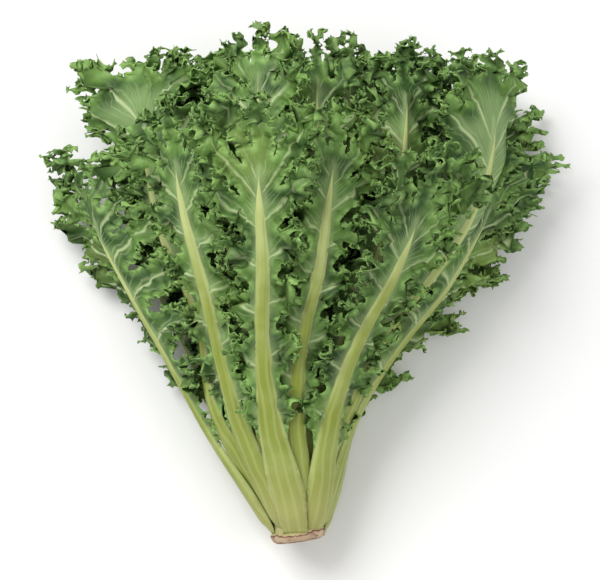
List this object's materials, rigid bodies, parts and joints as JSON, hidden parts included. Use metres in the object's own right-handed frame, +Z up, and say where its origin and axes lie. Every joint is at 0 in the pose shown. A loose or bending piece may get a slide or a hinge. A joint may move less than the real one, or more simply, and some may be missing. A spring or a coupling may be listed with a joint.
{
  "type": "head of escarole",
  "caption": "Head of curly escarole lying on its side, with frilled leaves on thick pale ribs that spread from a short cut stem.",
  "frame": {"origin": "centre of the bounding box at its bottom, on the surface the head lies on", "axes": "+Y runs from the cut stem towards the leaf tips, +X across the head, +Z up from the surface"},
  "size_m": [0.3338, 0.3272, 0.1744],
  "materials": {
    "leaf_green": "soft living leaf, slightly waxy, green blades on pale ribs",
    "cut_stem": "dry brown cut stem"
  },
  "bodies": {
    "root": {"leaf_01": "leaf_green", "leaf_02": "leaf_green", "leaf_03": "leaf_green", "leaf_04": "leaf_green", "leaf_05": "leaf_green", "leaf_06": "leaf_green", "leaf_07": "leaf_green", "leaf_08": "leaf_green", "leaf_09": "leaf_green", "leaf_10": "leaf_green", "leaf_11": "leaf_green", "leaf_12": "leaf_green", "leaf_13": "leaf_green", "leaf_14": "leaf_green", "leaf_15": "leaf_green", "leaf_16": "leaf_green", "leaf_17": "leaf_green", "leaf_18": "leaf_green", "leaf_19": "leaf_green", "leaf_20": "leaf_green", "leaf_21": "leaf_green", "leaf_22": "leaf_green", "leaf_23": "leaf_green", "leaf_24": "leaf_green", "leaf_25": "leaf_green", "leaf_26": "leaf_green", "leaf_27": "leaf_green", "leaf_28": "leaf_green", "leaf_29": "leaf_green", "leaf_30": "leaf_green", "leaf_31": "leaf_green", "leaf_32": "leaf_green", "leaf_33": "leaf_green", "leaf_34": "leaf_green", "stem": "cut_stem"}
  },
  "joints": []
}
